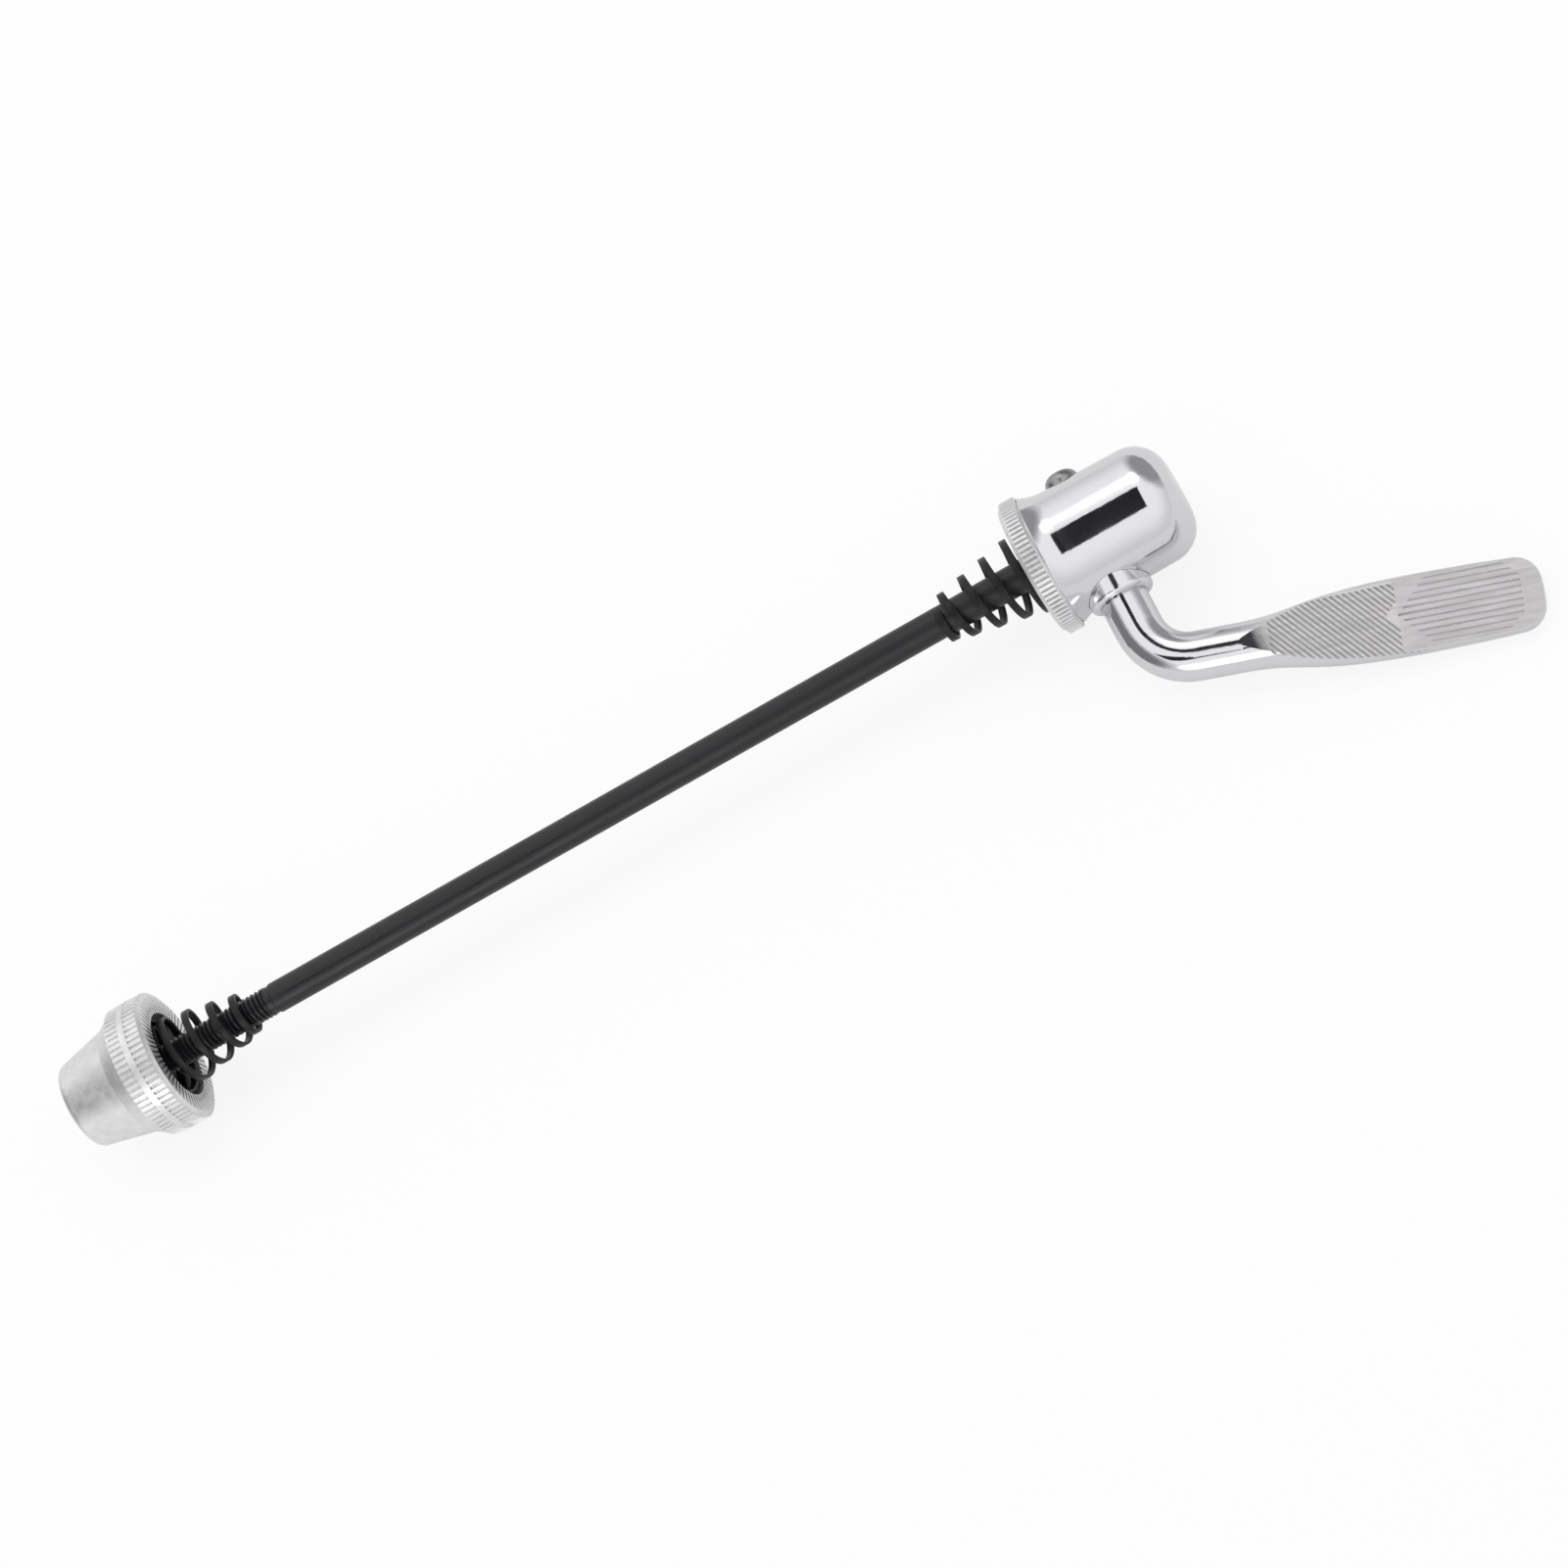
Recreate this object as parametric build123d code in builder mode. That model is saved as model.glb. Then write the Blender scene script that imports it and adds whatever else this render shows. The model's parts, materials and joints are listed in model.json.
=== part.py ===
from build123d import *

import os
from math import asin, atan2, cos, degrees, hypot, pi, radians, sin, tan

# Quick release skewer with a cone nut for a bicycle's rear wheel, in millimetres.
# +X runs along the rod from the nut to the lever and +Z is up. The origin is the centre of
# the lever side's clamping face. The skewer lies on the rims of its nut and flange and on
# the outer edge of its lever, which stands half way between open and closed.

# Driving dimensions
CLAMP_SPAN = 155.0
RIM_RADIUS = 11.2

ROD_RADIUS = 2.5
THREAD_RADIUS = 2.4
THREAD_LENGTH = 35.1
THREAD_RELIEF = 1.2
THREAD_END_GAP = 1.5
END_CHAMFER = 0.6

PIVOT_X = 10.3
CAM_THROW = 1.2
CAM_RADIUS = 3.5
JOURNAL_RADIUS = 2.2
COLLAR_RADIUS = 5.1
COLLAR_REACH = 11.2
COLLAR_EDGE = 0.8
EYE_RADIUS = 6.3
EYE_THICKNESS = 7.0
EYE_WALL = 2.2
EYE_CHAMFER = 1.2

HOUSING_LENGTH = 25.5
HOUSING_NECK_RADIUS = 9.65
HOUSING_END_RADIUS = 9.35
HOUSING_CORNER = 5.5
HOUSING_DOME = 0.5
FLARE_RADIUS = 10.6
FLARE_END = 6.8
FLANGE_THICKNESS = 3.15
FLANGE_CHAMFER = 0.6
FLANGE_TEETH = 84
SEAM_DEPTH = 0.25
SEAM_WIDTH = 0.3
SEAT_DEPTH = 0.5

SCREW_HEAD_RADIUS = 2.7
SCREW_HEAD_HEIGHT = 2.0
SCREW_TOP_RADIUS = 1.9
SCREW_RADIUS = 1.5
SCREW_LENGTH = 6.0
SCREW_SEAT_SINK = 0.45
SCREW_SLOT_WIDTH = 0.8
SCREW_SLOT_LENGTH = 2.9
SCREW_SLOT_DEPTH = 1.2

ARM_RADIUS = 3.75
BEND_RADIUS = 8.5
BEND_ANGLE = 71.0
CORNER_REACH = 22.4
ARM_BASE_FILLET = 0.6
RAMP_START = 13.0
PADDLE_START = 13.5
PADDLE_ROOT = 24.0
PADDLE_WIDEST = 44.0
PADDLE_END = 57.6
PADDLE_ROOT_HALF_WIDTH = 5.05
PADDLE_HALF_WIDTH = 5.86
PADDLE_TIP_HALF_WIDTH = 5.25
PADDLE_THICKNESS = 3.0
PADDLE_CORNER = 3.8

RIB_START = 17.6
RIB_MARGIN = 0.8
RIB_ANGLE = 47.0
RIB_PITCH = 0.72
RIB_GROOVE = 0.32
RIB_DEPTH = 0.25
CHEVRON_APEX = 34.6
CHEVRON_SWEEP = 4.6
CHEVRON_WIDTH = 1.8
FLUTE_PITCH = 0.96
FLUTE_COUNT = 11
FLUTE_END = 54.6
FLUTE_CORNER = 2.4

NUT_LENGTH = 18.0
NUT_FACE_RADIUS = 10.2
NUT_TEETH = 68
NUT_RING_START = 0.5
NUT_RING_ONE_END = 2.85
NUT_RING_TWO_START = 3.95
NUT_RING_TWO_END = 6.2
NUT_CONE_START = 8.75
NUT_CONE_RADIUS = 9.2
NUT_TIP_RADIUS = 7.1
NUT_TIP_ROUND = 1.2
NUT_RECESS_RADIUS = 7.3
NUT_RECESS_DEPTH = 5.5
NUT_MOUTH_CHAMFER = 0.5

KNURL_DEPTH = 0.35
KNURL_CORE = 0.3
KNURL_TOP_SHARE = 0.5
KNURL_VALLEY_SHARE = 0.15
NUT_KNURL_DROP = 0.05
SERRATION_COUNT = 60
SERRATION_DEPTH = 0.3
SERRATION_LAND = 0.3
SERRATION_EDGE = 0.1
NUT_SERRATION_DEPTH = 0.22
NUT_SERRATION_SLOPE = 5.0

INSERT_SEAT = 2.6
INSERT_FLOOR = 1.2
INSERT_WALL = 0.8
INSERT_HUB_WALL = 1.1
INSERT_RIBS = 8
INSERT_RIB_WIDTH = 0.8

SPRING_LENGTH = 16.4
SPRING_TURNS = 4.75
SPRING_OUTER_RADIUS = 7.0
SPRING_WIRE_WIDTH = 1.2
SPRING_WIRE_THICKNESS = 0.5
SPRING_STEPS_PER_TURN = 16

# Clearances
RUN_CLEARANCE = 0.05
THREAD_CLEARANCE = 0.1
SLOT_CLEARANCE = 0.35
BODY_CLEARANCE = 0.3
SPRING_CLEARANCE = 0.3
SPRING_SEAT_CLEARANCE = 0.1

# Sizes worked out from the driving dimensions
nut_face_x = -CLAMP_SPAN
rod_end_x = nut_face_x - NUT_LENGTH + THREAD_END_GAP
thread_end_x = rod_end_x + THREAD_LENGTH
root_radius = RIM_RADIUS - KNURL_DEPTH
core_radius = root_radius - KNURL_CORE
nut_tooth_radius = RIM_RADIUS - NUT_KNURL_DROP
cavity_radius = EYE_RADIUS + BODY_CLEARANCE
eye_half_length = CAM_RADIUS + SLOT_CLEARANCE + EYE_WALL
cavity_depth = PIVOT_X + eye_half_length + CAM_THROW + BODY_CLEARANCE
seat_radius = SPRING_OUTER_RADIUS + SPRING_CLEARANCE
collar_bottom = EYE_THICKNESS / 2 + BODY_CLEARANCE
neck_slope = (HOUSING_NECK_RADIUS - HOUSING_END_RADIUS) / (HOUSING_LENGTH - FLARE_END)
pivot_wall_radius = HOUSING_NECK_RADIUS - neck_slope * (PIVOT_X - FLARE_END)
screw_seat = pivot_wall_radius - SCREW_SEAT_SINK
journal_reach = screw_seat + RUN_CLEARANCE
bend_tangent = BEND_RADIUS * tan(radians(BEND_ANGLE / 2))
bend_start = CORNER_REACH - bend_tangent
handle_tilt = 90.0 - BEND_ANGLE
flute_start = CHEVRON_APEX + CHEVRON_WIDTH
ramp_slope = (ARM_RADIUS - PADDLE_THICKNESS / 2) / (flute_start - RAMP_START)
ramp_height = PADDLE_THICKNESS / 2 + flute_start * ramp_slope
spring_bore = ROD_RADIUS + SPRING_CLEARANCE

# The lever leans down about the rod until its outer edge meets the floor under the rims
tip_angle = radians(handle_tilt)
tip_narrowing = PADDLE_TIP_HALF_WIDTH - PADDLE_HALF_WIDTH
tip_centre = PADDLE_END - PADDLE_CORNER
tip_share = (tip_centre - PADDLE_WIDEST) / (PADDLE_END - PADDLE_WIDEST)
tip_half_width = PADDLE_HALF_WIDTH + tip_narrowing * tip_share**2
tip_along = tip_centre + PADDLE_CORNER * sin(tip_angle)
tip_radius = tip_half_width - PADDLE_CORNER + PADDLE_CORNER * cos(tip_angle)
tip_across = (tip_radius**2 - (PADDLE_THICKNESS / 2) ** 2) ** 0.5
paddle_reach = CORNER_REACH + tip_along * sin(tip_angle) + tip_across * cos(tip_angle)
paddle_drop = atan2(PADDLE_THICKNESS / 2, paddle_reach)
lever_lean = degrees(
    asin(RIM_RADIUS / hypot(paddle_reach, PADDLE_THICKNESS / 2)) - paddle_drop
)

# Planes of the cam lever: across the pivot line, along the lever and along its handle
pivot_line = Vector(0, -cos(radians(lever_lean)), -sin(radians(lever_lean)))
lever_up = Vector(0, -sin(radians(lever_lean)), cos(radians(lever_lean)))
pivot_plane = Plane(origin=(PIVOT_X, 0, 0), x_dir=(1, 0, 0), z_dir=pivot_line)
lever_plane = Plane(origin=(PIVOT_X, 0, 0), x_dir=(1, 0, 0), z_dir=-lever_up)
handle_axis = Vector(1, 0, 0) * cos(radians(handle_tilt)) + pivot_line * sin(radians(handle_tilt))
handle_corner = Vector(PIVOT_X, 0, 0) + pivot_line * CORNER_REACH
handle_plane = Plane(origin=handle_corner, x_dir=handle_axis, z_dir=-lever_up)
handle_side_plane = Plane(
    origin=handle_corner, x_dir=handle_axis, z_dir=handle_axis.cross(lever_up)
)


def toothed_outline(count, tip_radius, bottom_radius):
    """The corner points of a ring of straight knurling, a flat top and a valley for each tooth."""
    pitch = 2 * pi / count
    half_top = KNURL_TOP_SHARE * pitch / 2
    half_valley = KNURL_VALLEY_SHARE * pitch / 2
    points = []
    for tooth in range(count):
        top = pitch * tooth
        valley = top + pitch / 2
        for angle in (top - half_top, top + half_top):
            points.append((tip_radius * cos(angle), tip_radius * sin(angle)))
        for angle in (valley - half_valley, valley + half_valley):
            points.append((bottom_radius * cos(angle), bottom_radius * sin(angle)))
    return points


def spring_spine(seat_x, toward):
    """Points along the middle of a conical spring's wire, from its large closed end at seat_x."""
    large = SPRING_OUTER_RADIUS - SPRING_WIRE_THICKNESS / 2
    small = spring_bore + SPRING_WIRE_THICKNESS / 2
    pitch = (SPRING_LENGTH - SPRING_WIRE_WIDTH) / (SPRING_TURNS - 1)
    steps = round(SPRING_TURNS * SPRING_STEPS_PER_TURN)
    points = []
    for step in range(steps + 1):
        turn = SPRING_TURNS * step / steps
        left = SPRING_TURNS - turn
        if turn < 1:
            rise = pitch * turn**2 / 2
        elif left < 1:
            rise = pitch * (SPRING_TURNS - 1 - left**2 / 2)
        else:
            rise = pitch * (turn - 0.5)
        radius = large + (small - large) * turn / SPRING_TURNS
        angle = toward * 2 * pi * turn
        along = seat_x + toward * (rise + SPRING_WIRE_WIDTH / 2)
        points.append((along, radius * cos(angle), radius * sin(angle)))
    return points


os.makedirs("parts", exist_ok=True)

# Rod with its threaded end and the eye that the cam works in
with BuildPart() as skewer_rod:
    eye_start = PIVOT_X - eye_half_length
    eye_end = PIVOT_X + eye_half_length
    relief_radius = THREAD_RADIUS - THREAD_CLEARANCE
    with BuildSketch(Plane.XY):
        with BuildLine():
            Polyline(
                (rod_end_x, 0),
                (rod_end_x, THREAD_RADIUS - END_CHAMFER),
                (rod_end_x + END_CHAMFER, THREAD_RADIUS),
                (thread_end_x - THREAD_RELIEF, THREAD_RADIUS),
                (thread_end_x - THREAD_RELIEF, relief_radius),
                (thread_end_x - (ROD_RADIUS - relief_radius), relief_radius),
                (thread_end_x, ROD_RADIUS),
                (eye_start, ROD_RADIUS),
                (eye_start, EYE_RADIUS - EYE_CHAMFER),
                (eye_start + EYE_CHAMFER, EYE_RADIUS),
                (eye_end - EYE_CHAMFER, EYE_RADIUS),
                (eye_end, EYE_RADIUS - EYE_CHAMFER),
                (eye_end, 0),
                close=True,
            )
        make_face()
    revolve(axis=Axis.X)
    for side in (1, -1):
        with BuildSketch(pivot_plane.offset(side * EYE_THICKNESS / 2)):
            Rectangle(4 * EYE_RADIUS, 4 * EYE_RADIUS)
        extrude(amount=side * EYE_RADIUS, mode=Mode.SUBTRACT)
    slot_radius = CAM_RADIUS + SLOT_CLEARANCE
    with BuildSketch(pivot_plane):
        with Locations((0, -CAM_THROW / 2)):
            SlotCenterToCenter(CAM_THROW, 2 * slot_radius, rotation=90)
    extrude(amount=EYE_THICKNESS, both=True, mode=Mode.SUBTRACT)
skewer_rod.part.label = "skewer_rod"
export_step(skewer_rod.part, "parts/skewer_rod.step")

# Cam housing: knurled flange, flared round body, cavity for the eye and the lever's two bores
with BuildPart() as cam_housing:
    with BuildSketch(Plane.XY):
        with BuildLine():
            end_x = HOUSING_LENGTH - HOUSING_DOME
            dome_radius = (HOUSING_END_RADIUS**2 + HOUSING_DOME**2) / (2 * HOUSING_DOME)
            seam_x = FLANGE_THICKNESS + SEAM_WIDTH
            Polyline(
                (seam_x, FLARE_RADIUS),
                (seam_x, FLARE_RADIUS - SEAM_DEPTH),
                (FLANGE_THICKNESS, FLARE_RADIUS - SEAM_DEPTH),
                (FLANGE_THICKNESS, FLARE_RADIUS),
                (FLANGE_THICKNESS - FLANGE_CHAMFER / 2, root_radius),
                (FLANGE_THICKNESS - FLANGE_CHAMFER / 2, core_radius),
                (FLANGE_CHAMFER, core_radius),
                (FLANGE_CHAMFER, root_radius),
                (0, root_radius - FLANGE_CHAMFER),
                (0, 0),
                (HOUSING_LENGTH, 0),
            )
            RadiusArc((HOUSING_LENGTH, 0), (end_x, HOUSING_END_RADIUS), -dome_radius)
            Line((end_x, HOUSING_END_RADIUS), (FLARE_END, HOUSING_NECK_RADIUS))
            TangentArc(
                (FLARE_END, HOUSING_NECK_RADIUS), (seam_x, FLARE_RADIUS), tangent=(-1, neck_slope)
            )
        outline = make_face()
        fillet(outline.vertices().sort_by(Axis.X)[-2], radius=HOUSING_CORNER)
    revolve(axis=Axis.X)
    with BuildSketch(Plane.YZ.offset(FLANGE_CHAMFER)):
        Polygon(*toothed_outline(FLANGE_TEETH, RIM_RADIUS, root_radius), align=None)
    extrude(amount=FLANGE_THICKNESS - 1.5 * FLANGE_CHAMFER)
    with BuildSketch(Plane.YZ):
        Circle(cavity_radius)
    extrude(amount=cavity_depth, mode=Mode.SUBTRACT)
    with BuildSketch(Plane.YZ):
        Circle(seat_radius)
    extrude(amount=SEAT_DEPTH, mode=Mode.SUBTRACT)
    with BuildSketch(pivot_plane):
        Circle(COLLAR_RADIUS + RUN_CLEARANCE)
    extrude(amount=COLLAR_REACH, mode=Mode.SUBTRACT)
    with BuildSketch(pivot_plane):
        Circle(JOURNAL_RADIUS + RUN_CLEARANCE)
    extrude(amount=-COLLAR_REACH, mode=Mode.SUBTRACT)
    with BuildSketch(pivot_plane.offset(-screw_seat)):
        Circle(SCREW_HEAD_RADIUS + BODY_CLEARANCE)
    extrude(amount=-COLLAR_REACH, mode=Mode.SUBTRACT)
    groove_start = seat_radius + SERRATION_LAND
    groove_end = root_radius - FLANGE_CHAMFER - SERRATION_EDGE
    with Locations(Plane(origin=(0, 0, 0), x_dir=(0, 1, 0), z_dir=(-1, 0, 0))):
        with PolarLocations((groove_start + groove_end) / 2, SERRATION_COUNT):
            groove_side = SERRATION_DEPTH * 2**0.5
            Box(
                groove_end - groove_start,
                groove_side,
                groove_side,
                rotation=(45, 0, 0),
                mode=Mode.SUBTRACT,
            )
cam_housing.part.label = "cam_housing"
export_step(cam_housing.part, "parts/cam_housing.step")

# Lever: bent round arm with its end flattened to a ribbed paddle, collar, eccentric cam and journal
with BuildPart() as lever:
    with BuildSketch(handle_plane):
        with BuildLine():
            Line((bend_tangent, ARM_RADIUS), (PADDLE_START, ARM_RADIUS))
            Spline(
                (PADDLE_START, ARM_RADIUS),
                (PADDLE_ROOT, PADDLE_ROOT_HALF_WIDTH),
                (PADDLE_WIDEST, PADDLE_HALF_WIDTH),
                (PADDLE_END, PADDLE_TIP_HALF_WIDTH),
                tangents=((1, 0), (PADDLE_END - PADDLE_WIDEST, 2 * tip_narrowing)),
            )
            Polyline(
                (PADDLE_END, PADDLE_TIP_HALF_WIDTH),
                (PADDLE_END, 0),
                (bend_tangent, 0),
                (bend_tangent, ARM_RADIUS),
            )
        make_face()
        tip_corner = vertices().group_by(Axis.X)[-1].sort_by(Axis.Y)[-1]
        fillet(tip_corner, radius=PADDLE_CORNER)
    revolve(axis=Axis(handle_corner, handle_axis))
    for side in (1, -1):
        with BuildSketch(handle_side_plane):
            with BuildLine():
                Polyline(
                    (RAMP_START, side * ARM_RADIUS),
                    (flute_start, side * PADDLE_THICKNESS / 2),
                    (PADDLE_END + BODY_CLEARANCE, side * PADDLE_THICKNESS / 2),
                    (PADDLE_END + BODY_CLEARANCE, side * 2 * PADDLE_HALF_WIDTH),
                    (RAMP_START, side * 2 * PADDLE_HALF_WIDTH),
                    close=True,
                )
            make_face()
        extrude(amount=2 * PADDLE_HALF_WIDTH, both=True, mode=Mode.SUBTRACT)
    with BuildSketch(pivot_plane.offset(bend_start)):
        Circle(ARM_RADIUS)
    bend_centre = Vector(PIVOT_X + BEND_RADIUS, 0, 0) + pivot_line * bend_start
    revolve(axis=Axis(bend_centre, lever_up), revolution_arc=BEND_ANGLE)
    with BuildSketch(lever_plane):
        with BuildLine():
            Polyline(
                (0, bend_start),
                (0, collar_bottom),
                (COLLAR_RADIUS, collar_bottom),
                (COLLAR_RADIUS, COLLAR_REACH),
                (ARM_RADIUS, COLLAR_REACH),
                (ARM_RADIUS, bend_start),
                close=True,
            )
        make_face()
        outer_corner = vertices().group_by(Axis.X)[-1].sort_by(Axis.Y)[-1]
        inner_corner = vertices().group_by(Axis.X)[-2].sort_by(Axis.Y)[0]
        fillet(outer_corner, radius=COLLAR_EDGE)
        fillet(inner_corner, radius=ARM_BASE_FILLET)
    revolve(axis=Axis((PIVOT_X, 0, 0), pivot_line))
    with BuildSketch(pivot_plane.offset(-collar_bottom)):
        with Locations((0, -CAM_THROW)):
            Circle(CAM_RADIUS)
    extrude(amount=2 * collar_bottom)
    with BuildSketch(pivot_plane.offset(-journal_reach)):
        Circle(JOURNAL_RADIUS)
    extrude(amount=journal_reach)
    with BuildSketch(pivot_plane.offset(-journal_reach)):
        Circle(SCREW_RADIUS + RUN_CLEARANCE)
    extrude(amount=SCREW_LENGTH + BODY_CLEARANCE, mode=Mode.SUBTRACT)
    rib_half_width = PADDLE_HALF_WIDTH - RIB_MARGIN
    outer_run = 2 * PADDLE_HALF_WIDTH
    chevron_run = CHEVRON_SWEEP * outer_run / rib_half_width
    rib_zone = [
        (RIB_START, -ARM_RADIUS + RIB_MARGIN),
        (PADDLE_ROOT, -PADDLE_ROOT_HALF_WIDTH + RIB_MARGIN),
        (CHEVRON_APEX + CHEVRON_SWEEP, -rib_half_width),
        (CHEVRON_APEX, 0),
        (CHEVRON_APEX + chevron_run, outer_run),
        (RIB_START, outer_run),
    ]
    flute_zone = [
        (FLUTE_END, -rib_half_width + FLUTE_CORNER),
        (FLUTE_END - FLUTE_CORNER, -rib_half_width),
        (flute_start + CHEVRON_SWEEP, -rib_half_width),
        (flute_start, 0),
        (flute_start + CHEVRON_SWEEP, rib_half_width),
        (FLUTE_END - FLUTE_CORNER, rib_half_width),
        (FLUTE_END, rib_half_width - FLUTE_CORNER),
    ]
    rib_middle = (RIB_START + CHEVRON_APEX + CHEVRON_SWEEP) / 2
    rib_count = 2 * int((CHEVRON_APEX + CHEVRON_SWEEP - RIB_START) / (2 * RIB_PITCH)) + 1
    for side in (1, -1):
        ramp_plane = Plane(
            origin=handle_corner - lever_up * side * ramp_height,
            x_dir=handle_axis + lever_up * side * ramp_slope,
            z_dir=handle_axis * side * ramp_slope - lever_up,
        )
        with BuildSketch(ramp_plane):
            with Locations(Location((rib_middle, 0), RIB_ANGLE)):
                with GridLocations(0, RIB_PITCH, 1, rib_count):
                    Rectangle(PADDLE_END, RIB_GROOVE)
            Polygon(*rib_zone, align=None, mode=Mode.INTERSECT)
        extrude(amount=-side * RIB_DEPTH, mode=Mode.SUBTRACT)
        with BuildSketch(handle_plane.offset(side * PADDLE_THICKNESS / 2)):
            with GridLocations(0, FLUTE_PITCH, 1, FLUTE_COUNT):
                Rectangle(2 * PADDLE_END, RIB_GROOVE)
            Polygon(*flute_zone, align=None, mode=Mode.INTERSECT)
        extrude(amount=-side * RIB_DEPTH, mode=Mode.SUBTRACT)
lever.part.label = "lever"
export_step(lever.part, "parts/lever.step")

# Retaining screw in the journal's end
with BuildPart() as retaining_screw:
    with BuildSketch(lever_plane):
        with BuildLine():
            head_top = -journal_reach - SCREW_HEAD_HEIGHT
            head_edge = -journal_reach - SCREW_HEAD_HEIGHT / 3
            Polyline(
                (SCREW_TOP_RADIUS, head_top),
                (0, head_top),
                (0, SCREW_LENGTH - journal_reach),
                (SCREW_RADIUS, SCREW_LENGTH - journal_reach),
                (SCREW_RADIUS, -journal_reach),
                (SCREW_HEAD_RADIUS, -journal_reach),
                (SCREW_HEAD_RADIUS, head_edge),
            )
            TangentArc((SCREW_HEAD_RADIUS, head_edge), (SCREW_TOP_RADIUS, head_top), tangent=(0, -1))
        make_face()
    revolve(axis=Axis((PIVOT_X, 0, 0), pivot_line))
    with BuildSketch(pivot_plane.offset(head_top)):
        Rectangle(SCREW_SLOT_LENGTH, SCREW_SLOT_WIDTH)
        Rectangle(SCREW_SLOT_WIDTH, SCREW_SLOT_LENGTH)
    extrude(amount=SCREW_SLOT_DEPTH, mode=Mode.SUBTRACT)
retaining_screw.part.label = "retaining_screw"
export_step(retaining_screw.part, "parts/retaining_screw.step")

# Cone nut: cone tip, two knurled rings, serrated face, recess and threaded bore
with BuildPart() as cone_nut:
    nut_tip_x = nut_face_x - NUT_LENGTH
    with BuildSketch(Plane.XY):
        with BuildLine():
            Polyline(
                (nut_face_x, 0),
                (nut_face_x, NUT_FACE_RADIUS),
                (nut_face_x - NUT_RING_START, root_radius),
                (nut_face_x - NUT_RING_START, core_radius),
                (nut_face_x - NUT_RING_ONE_END, core_radius),
                (nut_face_x - NUT_RING_ONE_END, RIM_RADIUS),
                (nut_face_x - NUT_RING_TWO_START, RIM_RADIUS),
                (nut_face_x - NUT_RING_TWO_START, core_radius),
                (nut_face_x - NUT_RING_TWO_END, core_radius),
                (nut_face_x - NUT_RING_TWO_END, root_radius),
                (nut_face_x - NUT_CONE_START, NUT_CONE_RADIUS),
                (nut_tip_x, NUT_TIP_RADIUS),
                (nut_tip_x, 0),
                close=True,
            )
        make_face()
        tip_corner = vertices().group_by(Axis.X)[0].sort_by(Axis.Y)[-1]
        fillet(tip_corner, radius=NUT_TIP_ROUND)
    revolve(axis=Axis.X)
    knurl_points = toothed_outline(NUT_TEETH, nut_tooth_radius, root_radius)
    with BuildSketch(Plane.YZ.offset(nut_face_x - NUT_RING_ONE_END)):
        Polygon(*knurl_points, align=None)
    extrude(amount=NUT_RING_ONE_END - NUT_RING_START)
    with BuildSketch(Plane.YZ.offset(nut_face_x - NUT_RING_TWO_END)):
        Polygon(*knurl_points, align=None)
    extrude(amount=NUT_RING_TWO_END - NUT_RING_TWO_START)
    with BuildSketch(Plane.YZ.offset(nut_face_x)):
        Circle(NUT_RECESS_RADIUS)
    extrude(amount=-NUT_RECESS_DEPTH, mode=Mode.SUBTRACT)
    with BuildSketch(Plane.YZ.offset(nut_tip_x)):
        Circle(THREAD_RADIUS + THREAD_CLEARANCE)
    extrude(amount=NUT_LENGTH, mode=Mode.SUBTRACT)
    mouth_edge = cone_nut.edges().filter_by(GeomType.CIRCLE).group_by(Axis.X)[0].sort_by(SortBy.LENGTH)
    chamfer(mouth_edge[0], length=NUT_MOUTH_CHAMFER)
    nut_groove_start = NUT_RECESS_RADIUS - SERRATION_LAND
    nut_groove_end = NUT_FACE_RADIUS - SERRATION_EDGE
    nut_groove_side = NUT_SERRATION_DEPTH * 2**0.5
    with Locations(Plane(origin=(nut_face_x, 0, 0), x_dir=(0, 1, 0), z_dir=(1, 0, 0))):
        with PolarLocations((nut_groove_start + nut_groove_end) / 2, SERRATION_COUNT):
            with Locations(Location((0, 0, 0), (0, -NUT_SERRATION_SLOPE, 0))):
                Box(
                    nut_groove_end - nut_groove_start,
                    nut_groove_side,
                    nut_groove_side,
                    rotation=(45, 0, 0),
                    mode=Mode.SUBTRACT,
                )
cone_nut.part.label = "cone_nut"
export_step(cone_nut.part, "parts/cone_nut.step")

# Ribbed insert in the nut's recess, which carries the spring
with BuildPart() as nut_insert:
    insert_radius = NUT_RECESS_RADIUS - RUN_CLEARANCE
    insert_bore = THREAD_RADIUS + THREAD_CLEARANCE
    insert_height = NUT_RECESS_DEPTH - INSERT_SEAT
    with BuildSketch(Plane.YZ.offset(nut_face_x - NUT_RECESS_DEPTH)):
        Circle(insert_radius)
        Circle(insert_bore, mode=Mode.SUBTRACT)
    extrude(amount=INSERT_FLOOR)
    with BuildSketch(Plane.YZ.offset(nut_face_x - NUT_RECESS_DEPTH)):
        Circle(insert_radius)
        Circle(insert_radius - INSERT_WALL, mode=Mode.SUBTRACT)
        with PolarLocations((insert_bore + insert_radius) / 2, INSERT_RIBS):
            Rectangle(insert_radius - insert_bore - INSERT_WALL, INSERT_RIB_WIDTH)
        Circle(insert_bore + INSERT_HUB_WALL)
        Circle(insert_bore, mode=Mode.SUBTRACT)
    extrude(amount=insert_height)
nut_insert.part.label = "nut_insert"
export_step(nut_insert.part, "parts/nut_insert.step")

# Conical spring against the flange
with BuildPart() as lever_spring:
    with BuildLine() as lever_spine:
        Spline(*spring_spine(SEAT_DEPTH, -1))
    with BuildSketch(Plane(origin=lever_spine.line @ 0, x_dir=(1, 0, 0), z_dir=lever_spine.line % 0)):
        Rectangle(SPRING_WIRE_WIDTH, SPRING_WIRE_THICKNESS)
    sweep(path=lever_spine.line, is_frenet=True)
lever_spring.part.label = "lever_spring"
export_step(lever_spring.part, "parts/lever_spring.step")

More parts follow.
